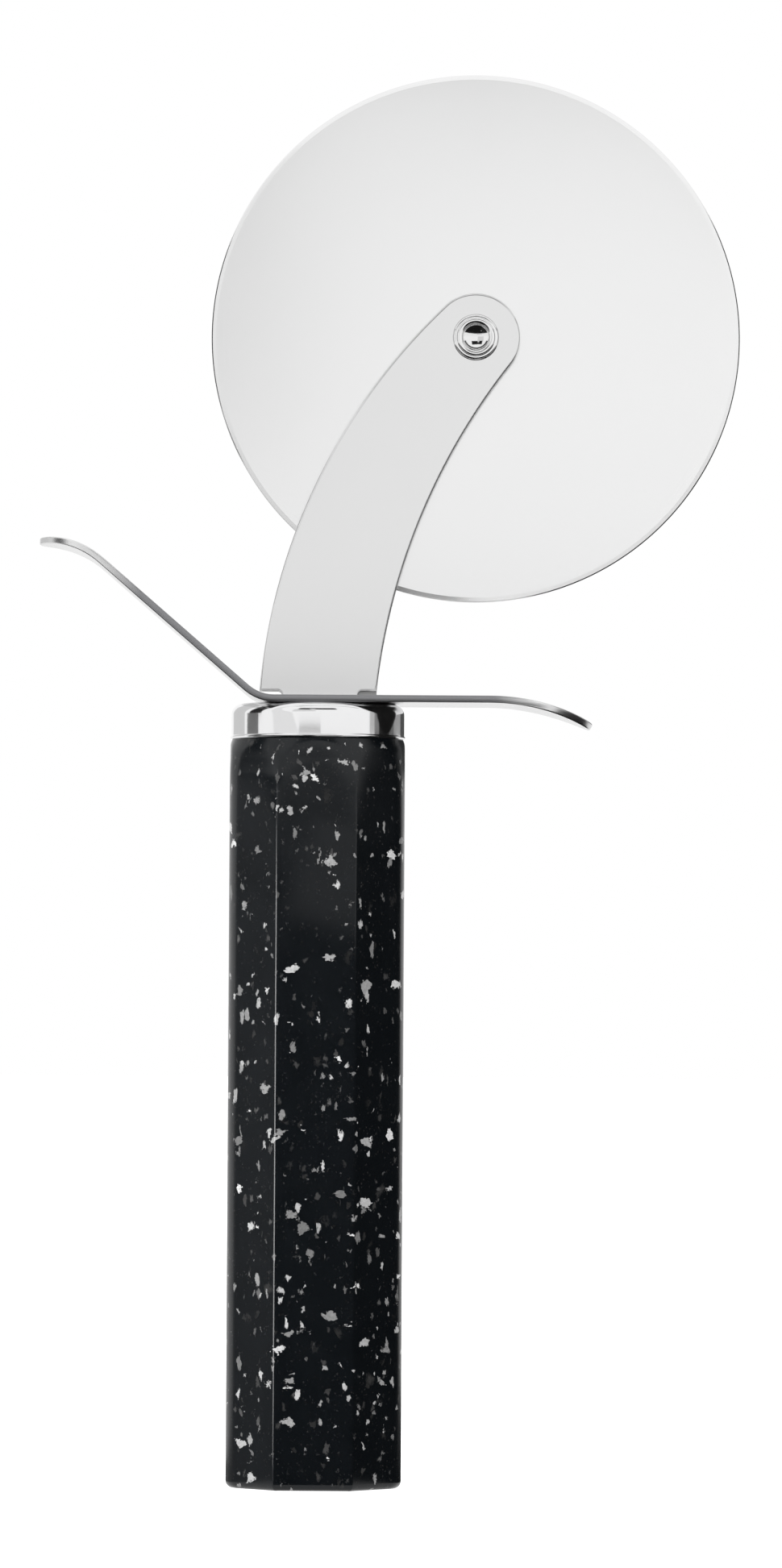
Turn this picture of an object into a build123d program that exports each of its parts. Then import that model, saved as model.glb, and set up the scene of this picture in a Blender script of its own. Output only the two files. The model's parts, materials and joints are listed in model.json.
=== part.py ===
from build123d import *
import math
import os

# Pizza cutter wheel, standing on the foot of its handle. +Z runs up the handle's
# axis, +X points to the side that the wheel leans to, and -Y is the front.

# Every cut runs this far past the faces that it opens.
cut_overrun = 1.0

# Cutting wheel: a flat disc, ground to an edge from both sides.
wheel_radius = 45.0
wheel_thickness = 1.0
wheel_bevel_width = 0.8
wheel_edge_thickness = 0.25
wheel_side_play = 0.1
wheel_running_clearance = 0.05

# Thin spacing washers on both sides of the wheel.
spacer_radius = 6.0
spacer_thickness = 0.6
spacer_bore_clearance = 0.06

# Axle: a semi-tubular rivet, with a low round head behind and a rolled lip in front.
axle_radius = 2.5
axle_hole_clearance = 0.05
head_radius = 4.6
head_height = 1.5
head_rim_height = 0.4
hollow_radius = 1.95
hollow_depth = 3.4
hollow_point_angle = 118.0
lip_crest_radius = 2.85
lip_outer_radius = 3.3
lip_height = 0.7

# Washer under the rolled lip.
washer_radius = 3.95
washer_thickness = 0.65
washer_edge_rounding = 0.4

# Arms: a pair of curved plates, one on each side of the wheel.
arm_thickness = 1.5
arm_eye_radius = 7.5
arm_rise = 60.3
arm_reach = 26.5
arm_foot_width = 19.9
arm_outer_curve_radius = 102.0
arm_inner_curve_radius = 109.0
arm_edge_bevel = 0.3
shoulder_gap = 1.0
shoulder_fillet_radius = 0.7

# Tangs of the arms, which go down through the guard and the ferrule into the handle.
tang_width = 13.0
tang_offset = 0.3
tang_depth = 62.0
tang_corner_radius = 2.5
tang_pin_radius = 2.0
tang_pin_spacing = 28.0
tang_pin_from_end = 12.0
tang_pin_clearance = 0.04

# Packing plate between the arms. It stands on the guard and fills a share of their rise.
packing_height_share = 0.233
packing_corner_radius = 3.0

# Finger guard: a strip bent up on one side and down on the other.
guard_thickness = 1.2
guard_width = 25.5
guard_bend_start = 7.4
guard_bend_radius = 7.0
guard_bend_angle = 40.9
guard_wing_length = 32.7
guard_tip_radius = 15.0
guard_lip_length = 1.0
guard_flat_end = 29.0
guard_droop_radius = 37.5
guard_droop_angle = 27.8
guard_edge_bevel = 0.3
guard_slot_clearance = 0.15

# Ferrule: a drawn cap with a rounded shoulder and a bead round its foot.
ferrule_radius = 14.7
ferrule_height = 6.0
ferrule_wall = 1.0
ferrule_shoulder_radius = 1.9
ferrule_bead_height = 0.6
ferrule_bead_depth = 0.15
ferrule_fit_clearance = 0.1

# Grip: an eight-sided shell, with its shoulders turned down to the ferrule's round.
grip_length = 126.8
grip_half_width = 14.85
grip_flat_half_width = 6.7
grip_ridge_rounding = 0.5
grip_side_rounding = 6.0
grip_foot_rounding = 1.2
grip_foot_thickness = 4.0
grip_neck_radius = 14.5
grip_turned_length = 9.6
grip_turned_radius = 16.4

# Core inside the grip, moulded round the tangs.
core_radius = 10.5
core_collar_gap = 0.15
core_fit_clearance = 0.05
tang_pocket_clearance = 0.1

# Heights up the handle's axis, from the foot.
ferrule_top = grip_length + ferrule_height
guard_top = ferrule_top + guard_thickness
shoulder_height = guard_top + shoulder_gap
axle_height = shoulder_height + arm_rise
tang_foot = ferrule_top - tang_depth

# Depths from the wheel's middle plane.
spacer_near = wheel_thickness / 2 + wheel_side_play
arm_near = spacer_near + spacer_thickness
arm_far = arm_near + arm_thickness
washer_far = arm_far + washer_thickness

# Edges of the tangs along X.
tang_left = tang_offset - tang_width / 2
tang_right = tang_offset + tang_width / 2

axle_line = Axis((arm_reach, 0, axle_height), (0, 1, 0))
wheel_section_plane = Plane(origin=(arm_reach, 0, axle_height), x_dir=(1, 0, 0), z_dir=(0, 0, 1))
handle_section_plane = Plane.XZ


def turned_on_axle(outline):
    """A solid of revolution about the axle. The outline holds radius and depth along +Y."""
    return revolve(wheel_section_plane * make_face(outline), axis=axle_line)


def turned_on_handle(outline):
    """A solid of revolution about the handle's axis. The outline holds radius and height."""
    return revolve(handle_section_plane * make_face(outline), axis=Axis.Z)


def rounding(centre, radius, first_angle, last_angle, steps):
    """Points along an arc of a turned outline, which is cut in a few short cones."""
    turn = (last_angle - first_angle) / steps
    angles = [math.radians(first_angle + turn * step) for step in range(steps + 1)]
    return [(centre[0] + radius * math.cos(a), centre[1] + radius * math.sin(a)) for a in angles]


def ring(inner_radius, outer_radius, near, far):
    """A flat ring about the axle, between two depths."""
    outline = Polyline(
        (inner_radius, near), (outer_radius, near), (outer_radius, far), (inner_radius, far), close=True
    )
    return turned_on_axle(outline)


def wheel_blade():
    """The disc, with a bevel on each side that leaves a thin cutting edge."""
    bore = axle_radius + wheel_running_clearance
    half = wheel_thickness / 2
    half_edge = wheel_edge_thickness / 2
    bevel_start = wheel_radius - wheel_bevel_width
    outline = Polyline(
        (bore, -half),
        (bevel_start, -half),
        (wheel_radius, -half_edge),
        (wheel_radius, half_edge),
        (bevel_start, half),
        (bore, half),
        close=True,
    )
    return turned_on_axle(outline)


def spacer():
    """One spacing washer, behind the wheel."""
    return ring(axle_radius + spacer_bore_clearance, spacer_radius, spacer_near, arm_near)


def clinch_washer():
    """The washer in front of the front arm, with its front edge rounded over."""
    bore = axle_radius + axle_hole_clearance
    edge_centre = (washer_radius - washer_edge_rounding, -washer_far + washer_edge_rounding)
    edge = rounding(edge_centre, washer_edge_rounding, 0, -90, 2)
    outline = Polyline((bore, -arm_far), (washer_radius, -arm_far), *edge, (bore, -washer_far), close=True)
    return turned_on_axle(outline)


def axle_rivet():
    """The rivet: head behind the rear arm, shank, and a hollow end rolled out over the washer."""
    head_top = arm_far + head_height
    head_rise = head_height - head_rim_height
    head_curve = (head_radius**2 + head_rise**2) / (2 * head_rise)
    head_edge_angle = math.degrees(math.acos(head_radius / head_curve))
    crest = -washer_far - lip_height
    flare = lip_crest_radius - hollow_radius
    roll = lip_outer_radius - lip_crest_radius
    hollow_end = crest + hollow_depth
    point = hollow_end + hollow_radius / math.tan(math.radians(hollow_point_angle / 2))
    outline = Polyline(
        (0, point),
        *rounding((0, head_top - head_curve), head_curve, 90, head_edge_angle, 2),
        (head_radius, arm_far),
        (axle_radius, arm_far),
        (axle_radius, -washer_far),
        (lip_outer_radius, -washer_far),
        *rounding((lip_crest_radius, crest + roll), roll, 0, -90, 2),
        *rounding((lip_crest_radius, crest + flare), flare, -90, -180, 2)[1:],
        (hollow_radius, hollow_end),
        close=True,
    )
    return turned_on_axle(outline)


def curve_centre(foot, foot_reach, eye, eye_reach):
    """The point to the lower right that lies at the given reaches from the foot and the eye."""
    span = eye - foot
    along = (span.length**2 + foot_reach**2 - eye_reach**2) / (2 * span.length)
    aside = math.sqrt(foot_reach**2 - along**2)
    direction = span.normalized()
    return foot + direction * along + Vector(direction.Y, -direction.X) * aside


def arc_about(centre, start, end):
    """The short arc round a centre between two points on it."""
    radius = (start - centre).length
    middle = centre + ((start + end) / 2 - centre).normalized() * radius
    return ThreePointArc(start, middle, end)


def arm_blade_outline():
    """The arm above its shoulders: two long curves that run into the round eye."""
    eye = Vector(arm_reach, axle_height)
    left_foot = Vector(-arm_foot_width / 2, shoulder_height)
    right_foot = Vector(arm_foot_width / 2, shoulder_height)
    outer_centre = curve_centre(left_foot, arm_outer_curve_radius, eye, arm_outer_curve_radius - arm_eye_radius)
    inner_centre = curve_centre(right_foot, arm_inner_curve_radius, eye, arm_inner_curve_radius + arm_eye_radius)
    outer_touch = outer_centre + (eye - outer_centre).normalized() * arm_outer_curve_radius
    inner_touch = inner_centre + (eye - inner_centre).normalized() * arm_inner_curve_radius
    across = (inner_touch - outer_touch).normalized()
    crown = eye + Vector(-across.Y, across.X) * arm_eye_radius
    return make_face(
        [
            arc_about(outer_centre, left_foot, outer_touch),
            ThreePointArc(outer_touch, crown, inner_touch),
            arc_about(inner_centre, inner_touch, right_foot),
            Line(right_foot, left_foot),
        ]
    )


def upright_strip(left, right, low, high):
    """A rectangle in the outline plane, given by its four sides."""
    return Pos((left + right) / 2, (low + high) / 2) * Rectangle(right - left, high - low)


def corners_near(face, points):
    """The corners of an outline that lie nearest to the given points."""
    return [min(face.vertices(), key=lambda v: (Vector(v) - Vector(*p)).length) for p in points]


def tang_outline(top):
    """The tang from its foot up to a given height, with round corners at the foot."""
    strip = upright_strip(tang_left, tang_right, tang_foot, top)
    return fillet(corners_near(strip, [(tang_left, tang_foot), (tang_right, tang_foot)]), tang_corner_radius)


def tang_pin_heights():
    """Heights of the two pins that clamp the tangs."""
    lower = tang_foot + tang_pin_from_end
    return [lower, lower + tang_pin_spacing]


def pin_holes(face, radius):
    """The outline with the pins' holes cut through it."""
    for height in tang_pin_heights():
        face -= Pos(tang_offset, height) * Circle(radius)
    return face


def arm_outline():
    """The whole blank of one arm: blade, notched shoulders, tang and holes."""
    face = arm_blade_outline() + tang_outline(shoulder_height + cut_overrun)
    notches = [(tang_left, shoulder_height), (tang_right, shoulder_height)]
    face = fillet(corners_near(face, notches), shoulder_fillet_radius)
    face -= Pos(arm_reach, axle_height) * Circle(axle_radius + axle_hole_clearance)
    return pin_holes(face, tang_pin_radius + tang_pin_clearance)


def arm():
    """The front arm, cut from sheet, with the edges of its outer face broken."""
    blank = extrude(handle_section_plane.offset(arm_near) * arm_outline(), arm_thickness)
    outer_face = blank.faces().sort_by(Axis.Y)[0]
    return chamfer(outer_face.outer_wire().edges(), arm_edge_bevel)


def tang_spacer():
    """The packing plate: it follows the arms' inner edge and stands on the guard."""
    top = shoulder_height + packing_height_share * arm_rise
    reach = arm_foot_width
    upper = arm_blade_outline() & upright_strip(tang_left, reach, shoulder_height, top)
    left_top = (tang_left, top)
    upper = fillet(corners_near(upper, [left_top]), packing_corner_radius)
    foot = upright_strip(tang_left, arm_foot_width / 2, guard_top, shoulder_height)
    face = upper + foot + tang_outline(shoulder_height)
    face = pin_holes(face, tang_pin_radius + tang_pin_clearance)
    return extrude(handle_section_plane.offset(-arm_near) * face, 2 * arm_near)


def tang_rivets():
    """The two pins, flush with the outer faces of the tangs."""
    pins = []
    for height in tang_pin_heights():
        place = Plane(origin=(tang_offset, -arm_far, height), x_dir=(1, 0, 0), z_dir=(0, 1, 0))
        pins.append(extrude(place * Circle(tang_pin_radius), 2 * arm_far))
    return Compound(children=pins)


def guard_side(offset):
    """One side of the guard's wave, at an offset from the middle of its thickness."""
    level = ferrule_top + guard_thickness / 2 + offset
    flat = Line((guard_flat_end, level), (-guard_bend_start, level))
    bend = JernArc(flat @ 1, flat % 1, guard_bend_radius - offset, -guard_bend_angle)
    wing = PolarLine(bend @ 1, guard_wing_length, direction=bend % 1)
    tip = JernArc(wing @ 1, wing % 1, guard_tip_radius + offset, guard_bend_angle)
    lip = PolarLine(tip @ 1, guard_lip_length, direction=tip % 1)
    droop = JernArc(flat @ 0, (1, 0), guard_droop_radius + offset, -guard_droop_angle)
    return [droop, flat, bend, wing, tip, lip]


def run_out(edge):
    """A short straight line that carries an edge on past its end."""
    return PolarLine(edge @ 1, cut_overrun, direction=edge % 1)


def guard_plan(left_tip, right_tip):
    """The guard seen from above: a long strip with full-round ends."""
    return Pos((left_tip + right_tip) / 2, 0) * SlotOverall(right_tip - left_tip, guard_width)


def tang_cutter(width_clearance, low, high):
    """A cutter for the bundle of tangs, with clearance on every side."""
    across = tang_width + 2 * width_clearance
    deep = 2 * (arm_far + width_clearance)
    centre = (low + high) / 2
    return Pos(tang_offset, 0, centre) * Box(across, deep, high - low)


def is_fold_line(edge):
    """Whether an edge runs straight across the guard, where one bend or flat meets the next."""
    return edge.geom_type == GeomType.LINE and abs((edge % 0).Y) > math.cos(math.radians(1))


def finger_guard():
    """The guard: a waved sheet, trimmed to its plan, with broken edges and the tangs' slot."""
    half = guard_thickness / 2
    upper = guard_side(half)
    lower = guard_side(-half)
    middle = guard_side(0)
    droop_ends = [run_out(upper[0]), run_out(lower[0])]
    lip_ends = [run_out(upper[-1]), run_out(lower[-1])]
    caps = [Line(first @ 1, second @ 1) for first, second in (droop_ends, lip_ends)]
    profile = make_face(upper + lower + droop_ends + lip_ends + caps)
    sheet = extrude(handle_section_plane * profile, guard_width / 2 + cut_overrun, both=True)
    box = sheet.bounding_box()
    plan = Plane.XY.offset(box.min.Z - cut_overrun) * guard_plan((middle[-1] @ 1).X, (middle[0] @ 1).X)
    strip = sheet & extrude(plan, box.size.Z + 2 * cut_overrun)
    rims = [edge for edge in strip.edges() if edge.length > 2 * guard_thickness and not is_fold_line(edge)]
    strip = chamfer(rims, guard_edge_bevel)
    return strip - tang_cutter(guard_slot_clearance, ferrule_top - cut_overrun, guard_top + cut_overrun)


def ferrule():
    """The cap: turned outside and in, with a slot in its top for the tangs."""
    foot = grip_length
    bead_radius = ferrule_radius + ferrule_bead_depth
    bead_top = foot + ferrule_bead_height
    shoulder_centre = (ferrule_radius - ferrule_shoulder_radius, ferrule_top - ferrule_shoulder_radius)
    bore = ferrule_radius - ferrule_wall
    ceiling = ferrule_top - ferrule_wall
    outline = Polyline(
        (0, ceiling),
        (0, ferrule_top),
        *rounding(shoulder_centre, ferrule_shoulder_radius, 90, 0, 4),
        (ferrule_radius, bead_top),
        (bead_radius, bead_top - ferrule_bead_depth),
        (bead_radius, foot + ferrule_bead_depth),
        (ferrule_radius, foot),
        (bore, foot),
        (bore, ceiling),
        close=True,
    )
    cap = turned_on_handle(outline)
    return cap - tang_cutter(guard_slot_clearance, ceiling - cut_overrun, ferrule_top + cut_overrun)


def grip_section():
    """The grip's section: facets that meet its front and back sharply, and full round sides."""
    half = grip_half_width
    flat = grip_flat_half_width
    corners = [
        (flat, -half),
        (half, -flat),
        (half, flat),
        (flat, half),
        (-flat, half),
        (-half, flat),
        (-half, -flat),
        (-flat, -half),
    ]
    face = make_face(Polyline(*corners, close=True))
    side_corners = [(half, -flat), (half, flat), (-half, flat), (-half, -flat)]
    return fillet(corners_near(face, side_corners), grip_side_rounding)


def grip_shoulder():
    """A turned blank whose upper end narrows to the ferrule's round."""
    curve_drop = grip_turned_radius - grip_neck_radius
    curve = (grip_turned_length**2 + curve_drop**2) / (2 * curve_drop)
    curve_centre_point = (grip_turned_radius - curve, grip_length - grip_turned_length)
    neck_angle = math.degrees(math.asin(grip_turned_length / curve))
    curve_points = rounding(curve_centre_point, curve, 0, neck_angle, 3)
    outline = Polyline((0, 0), (grip_turned_radius, 0), *curve_points, (0, grip_length), close=True)
    return turned_on_handle(outline)


def handle_grip():
    """The grip: eight sides, rounded foot, turned shoulders and a bore for the core."""
    body = extrude(grip_section(), grip_length)
    body = fillet(body.faces().sort_by(Axis.Z)[0].edges(), grip_foot_rounding)
    ridge_places = [
        (x, y, grip_length)
        for x in (-grip_flat_half_width, grip_flat_half_width)
        for y in (-grip_half_width, grip_half_width)
    ]
    ridges = [
        min(body.edges().filter_by(Axis.Z), key=lambda edge: edge.distance_to(Vertex(*place)))
        for place in ridge_places
    ]
    body = fillet(ridges, grip_ridge_rounding)
    body = body & grip_shoulder()
    bore_radius = core_radius + core_fit_clearance
    bore_length = grip_length - grip_foot_thickness + cut_overrun
    return body - Pos(0, 0, grip_foot_thickness) * extrude(Circle(bore_radius), bore_length)


def handle_core():
    """The core: a stem in the grip's bore, a collar in the ferrule and a pocket for the tangs."""
    collar_radius = ferrule_radius - ferrule_wall - ferrule_fit_clearance
    collar_top = ferrule_top - ferrule_wall - core_collar_gap
    outline = Polyline(
        (0, grip_foot_thickness),
        (core_radius, grip_foot_thickness),
        (core_radius, grip_length),
        (collar_radius, grip_length),
        (collar_radius, collar_top),
        (0, collar_top),
        close=True,
    )
    core = turned_on_handle(outline)
    pocket_foot = tang_foot - tang_pocket_clearance
    return core - tang_cutter(tang_pocket_clearance, pocket_foot, collar_top + cut_overrun)


parts = {
    "wheel_blade": wheel_blade(),
    "axle_rivet": axle_rivet(),
    "clinch_washer": clinch_washer(),
    "rear_spacer": spacer(),
    "front_spacer": mirror(spacer(), Plane.XZ),
    "front_arm": arm(),
    "rear_arm": mirror(arm(), Plane.XZ),
    "tang_spacer": tang_spacer(),
    "tang_rivets": tang_rivets(),
    "finger_guard": finger_guard(),
    "ferrule": ferrule(),
    "handle_grip": handle_grip(),
    "handle_core": handle_core(),
}

os.makedirs("parts", exist_ok=True)
for name, solid in parts.items():
    export_step(solid, f"parts/{name}.step")
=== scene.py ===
import bmesh
import bpy
import json
import math
from mathutils import Matrix, Vector


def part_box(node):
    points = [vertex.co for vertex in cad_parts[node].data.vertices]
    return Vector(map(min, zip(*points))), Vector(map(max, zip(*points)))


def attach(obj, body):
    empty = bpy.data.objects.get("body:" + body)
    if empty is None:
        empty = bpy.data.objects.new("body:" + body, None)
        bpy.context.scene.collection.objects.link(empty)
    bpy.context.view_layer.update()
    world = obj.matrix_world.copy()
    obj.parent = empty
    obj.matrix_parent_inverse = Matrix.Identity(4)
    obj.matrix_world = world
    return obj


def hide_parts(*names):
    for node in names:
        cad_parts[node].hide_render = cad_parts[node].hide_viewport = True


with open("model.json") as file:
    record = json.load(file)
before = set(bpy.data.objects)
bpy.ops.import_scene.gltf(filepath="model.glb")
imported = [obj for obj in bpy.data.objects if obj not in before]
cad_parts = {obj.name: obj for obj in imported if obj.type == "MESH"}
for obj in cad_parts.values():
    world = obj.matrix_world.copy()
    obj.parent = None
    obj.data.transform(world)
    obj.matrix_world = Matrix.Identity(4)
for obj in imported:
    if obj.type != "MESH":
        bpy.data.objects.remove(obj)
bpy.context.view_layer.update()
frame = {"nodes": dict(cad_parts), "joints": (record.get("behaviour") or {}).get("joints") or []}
cad = frame["nodes"]
mm = 0.001


# The core of the handle and the two pins through the tangs.
# The core is plain moulded plastic, cast round the tangs; the pins are cut from round steel.
# Neither shows from outside, so both keep their modelled solids and get a finish.

def set_socket(tree, socket, value):
    """A socket linked to another one, or set to a plain value."""
    if isinstance(value, bpy.types.NodeSocket):
        tree.links.new(value, socket)
    else:
        socket.default_value = value


def add_node(tree, kind, inputs, **settings):
    """A node with its settings made and its inputs set or linked."""
    node = tree.nodes.new(kind)
    for name, value in settings.items():
        setattr(node, name, value)
    for name, value in inputs.items():
        set_socket(tree, node.inputs[name], value)
    return node


def sum_of(tree, operation, first, second, third=0.0):
    """The result of one piece of arithmetic."""
    return add_node(tree, "ShaderNodeMath", {0: first, 1: second, 2: third}, operation=operation).outputs[0]


def vector_of(tree, operation, first, second):
    """The result of one piece of arithmetic on vectors."""
    return add_node(tree, "ShaderNodeVectorMath", {0: first, 1: second}, operation=operation).outputs[0]


def spread(tree, value, low, high):
    """A value from nought to one, spread between two limits."""
    inputs = {"Value": value, "To Min": low, "To Max": high}
    return add_node(tree, "ShaderNodeMapRange", inputs).outputs["Result"]


def noise(tree, place, scale, detail, roughness=0.5):
    """The outputs of a cloudy pattern."""
    inputs = {"Vector": place, "Scale": scale, "Detail": detail, "Roughness": roughness}
    return add_node(tree, "ShaderNodeTexNoise", inputs).outputs


def new_group(name, kind, inputs, outputs):
    """A node group with named inputs and outputs, and the sockets inside it."""
    tree = bpy.data.node_groups.new(name, kind)
    for label, socket, value in inputs:
        item = tree.interface.new_socket(label, in_out="INPUT", socket_type=socket)
        if value is not None:
            item.default_value = value
    for label, socket in outputs:
        tree.interface.new_socket(label, in_out="OUTPUT", socket_type=socket)
    return tree, tree.nodes.new("NodeGroupInput").outputs, tree.nodes.new("NodeGroupOutput").inputs


def new_material(name, metallic=0.0, level=0.5):
    """A material with its tree, its shader and the object's own coordinates."""
    made = bpy.data.materials.new(name)
    made.use_nodes = True
    tree = made.node_tree
    shader = tree.nodes["Principled BSDF"]
    shader.inputs["Metallic"].default_value = metallic
    shader.inputs["Specular IOR Level"].default_value = level
    return made, tree, shader, tree.nodes.new("ShaderNodeTexCoord").outputs["Object"]


def use_group(tree, group, inputs):
    """A shader group placed in a material."""
    return add_node(tree, "ShaderNodeGroup", inputs, node_tree=group).outputs


def set_mix(tree, mask, first, second):
    """A colour mix whose colour sockets are found by their type."""
    node = tree.nodes.new("ShaderNodeMix")
    node.data_type = "RGBA"
    sockets = {s.identifier: s for s in node.inputs}
    for identifier, value in (("Factor_Float", mask), ("A_Color", first), ("B_Color", second)):
        set_socket(tree, sockets[identifier], value)
    return next(s for s in node.outputs if s.identifier == "Result_Color")


def surface(tree, shader, mask, dark, bright, smoothest, roughest):
    """A colour and a roughness that a mask spreads between their limits."""
    tree.links.new(set_mix(tree, mask, (*dark, 1), (*bright, 1)), shader.inputs["Base Color"])
    tree.links.new(spread(tree, mask, smoothest, roughest), shader.inputs["Roughness"])


def relief(tree, shader, height, strength, depth):
    """A fine relief that follows a height."""
    bump = add_node(tree, "ShaderNodeBump", {"Height": height, "Strength": strength, "Distance": depth})
    tree.links.new(bump.outputs["Normal"], shader.inputs["Normal"])


def dress(node, material):
    """A modelled solid that stays, with its material in its own slots."""
    for place in cad[node].material_slots:
        place.material = material


number, vector = "NodeSocketFloat", "NodeSocketVector"

# fine speckle that moulded and tumbled surfaces share
broad_share = 0.6
speckle, held, given = new_group(
    "speckle",
    "ShaderNodeTree",
    [("Coordinates", vector, None), ("Grain", number, 0.0005)],
    [("Value", number), ("Height", number)],
)
fine = noise(speckle, held["Coordinates"], sum_of(speckle, "DIVIDE", 1.0, held["Grain"]), 3.0)["Fac"]
broad = noise(speckle, held["Coordinates"], sum_of(speckle, "DIVIDE", 0.05, held["Grain"]), 2.0)["Fac"]
fine_part = sum_of(speckle, "MULTIPLY", fine, 1 - broad_share)
speckle.links.new(sum_of(speckle, "MULTIPLY_ADD", broad, broad_share, fine_part), given["Value"])
speckle.links.new(fine, given["Height"])


def speckled(name, grain_size, dark, bright, smoothest, roughest, metallic=0.0):
    """A material whose colour and gloss follow the speckle, with its tree, shader and speckle."""
    made, tree, shader, place = new_material(name, metallic)
    grain = use_group(tree, speckle, {"Coordinates": place, "Grain": grain_size})
    surface(tree, shader, grain["Value"], dark, bright, smoothest, roughest)
    return made, tree, shader, grain


core_plastic, tree, shader, grain = speckled(
    "core_plastic", 0.8 * mm, (0.07, 0.07, 0.072), (0.13, 0.13, 0.132), 0.45, 0.65
)
relief(tree, shader, grain["Height"], 0.2, 0.05 * mm)
dress("handle_core", core_plastic)

pin_steel = speckled("pin_steel", 0.4 * mm, (0.58, 0.58, 0.58), (0.70, 0.70, 0.70), 0.25, 0.45, metallic=1.0)
dress("tang_rivets", pin_steel[0])


# The grip: an eight-sided bar of black resin filled with pale stone chips.
# It is cast round the core, ground to its facets and polished to a soft gloss; its upper end is turned
# down to the ferrule's round, and its foot is flat with a rounded edge.

def in_scene(name, data):
    """A new object in the scene."""
    made = bpy.data.objects.new(name, data)
    bpy.context.scene.collection.objects.link(made)
    return made


def new_object(name, points, faces, material=None):
    """A mesh object at the origin, with its place in its mesh."""
    mesh = bpy.data.meshes.new(name)
    mesh.from_pydata(points, [], faces)
    if material:
        mesh.materials.append(material)
    return in_scene(name, mesh)


weld_distance = 0.0005 * mm


def tidy_mesh(made, sharp_angle):
    """Closes a mesh's seams, points its faces outwards and smooths it between its sharp edges."""
    work = bmesh.new()
    work.from_mesh(made.data)
    bmesh.ops.remove_doubles(work, verts=work.verts, dist=weld_distance)
    bmesh.ops.recalc_face_normals(work, faces=work.faces)
    work.to_mesh(made.data)
    work.free()
    made.data.shade_smooth()
    made.data.set_sharp_from_angle(angle=math.radians(sharp_angle))


def bridged(loops, closed_ends=True):
    """Points and faces of a shell through a stack of loops that have equal counts."""
    count = len(loops[0])
    points = [point for loop in loops for point in loop]
    faces = []
    for row in range(len(loops) - 1):
        for k in range(count):
            here, beside = row * count + k, row * count + (k + 1) % count
            faces.append((here, beside, beside + count, here + count))
    if closed_ends:
        faces.append(tuple(range(count)))
        faces.append(tuple(range((len(loops) - 1) * count, len(loops) * count)))
    return points, faces


def quarter_round(radius, steps):
    """The insets and depths of a rounded edge, from the face to the side."""
    turns = [math.radians(90 * step / steps) for step in range(steps + 1)]
    return [(radius * (1 - math.sin(turn)), radius * (1 - math.cos(turn))) for turn in turns]


grip_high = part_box("handle_grip")[1]
grip_half = grip_high.x
grip_length = grip_high.z
flat_half = 6.7 * mm
ridge_round = 0.5 * mm
side_round = 6.0 * mm
foot_round = 1.2 * mm
foot_thickness = 4.0 * mm
core_bore = 10.55 * mm
neck_radius = 14.5 * mm
turned_length = 9.6 * mm
turned_radius = 16.4 * mm
shoulder_start = grip_length - turned_length
shoulder_run = 3.5 * mm
shoulder_blend = 1.0 * mm


def turned_by(ray, angle):
    """A flat direction turned by an angle."""
    cosine, sine = math.cos(angle), math.sin(angle)
    return Vector((ray.x * cosine - ray.y * sine, ray.x * sine + ray.y * cosine))


def rounded_corner(before, corner, after, radius, steps):
    """The corner of a section, rounded, as points with their outward directions."""
    corner = Vector(corner)
    back, on = (Vector(before) - corner).normalized(), (Vector(after) - corner).normalized()
    half = back.angle(on) / 2
    centre = corner + (back + on).normalized() * radius / math.sin(half)
    first = corner + back * radius / math.tan(half) - centre
    last = corner + on * radius / math.tan(half) - centre
    turn = first.angle_signed(last)
    points = []
    for step in range(steps + 1):
        ray = turned_by(first, -turn * step / steps)
        points.append((centre + ray, ray.normalized()))
    return points


def turned_limit(height):
    """The radius that the upper end is turned down to at a height."""
    if height <= shoulder_start:
        return turned_radius
    drop = turned_radius - neck_radius
    curve = (turned_length**2 + drop**2) / (2 * drop)
    return turned_radius - curve + math.sqrt(curve**2 - (height - shoulder_start) ** 2)


def grip_loop(section, inset, height):
    """One level of the grip: the section drawn in at the foot and cut softly by the turned shoulder."""
    limit = turned_limit(height)
    rise = (height - grip_length + turned_length + shoulder_run) / shoulder_run
    fall = (grip_length - height) / shoulder_run
    blend = shoulder_blend * min(1.0, max(rise, 0.0), fall)
    loop = []
    for point, outward in section:
        drawn = point - outward * inset
        reach = min(limit, drawn.length)
        if blend > 0:
            reach -= max(1 - abs(limit - drawn.length) / blend, 0.0) ** 2 * blend / 4
        drawn *= reach / drawn.length
        loop.append((drawn.x, drawn.y, height))
    return loop


# the eight-sided section, counter-clockwise, as points with their outward directions
corners = [(flat_half, -grip_half), (grip_half, -flat_half), (grip_half, flat_half), (flat_half, grip_half)]
corners += [(-x, -y) for x, y in corners]
rounds = [ridge_round, side_round, side_round, ridge_round] * 2
turned = []
for k in range(8):
    steps = 8 if rounds[k] == ridge_round else 14
    turned.append(rounded_corner(corners[k - 1], corners[k], corners[(k + 1) % 8], rounds[k], steps))
section = []
flat_steps = 16
for k in range(8):
    section += turned[k]
    start, (end, outward) = turned[k][-1][0], turned[(k + 1) % 8][0]
    section += [(start.lerp(end, step / flat_steps), outward) for step in range(1, flat_steps)]

side_steps, shoulder_steps = 30, 40
side_length = shoulder_start - foot_round
grip_levels = quarter_round(foot_round, 8)
grip_levels += [(0.0, foot_round + side_length * step / side_steps) for step in range(1, side_steps + 1)]
grip_levels += [
    (0.0, shoulder_start + turned_length * step / shoulder_steps) for step in range(1, shoulder_steps + 1)
]
grip_loops = [grip_loop(section, inset, height) for inset, height in grip_levels]
for height in (grip_length, foot_thickness):
    grip_loops.append([(*(point.normalized() * core_bore), height) for point, outward in section])
grip = new_object("terrazzo_grip", *bridged(grip_loops))
tidy_mesh(grip, 40)

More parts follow.
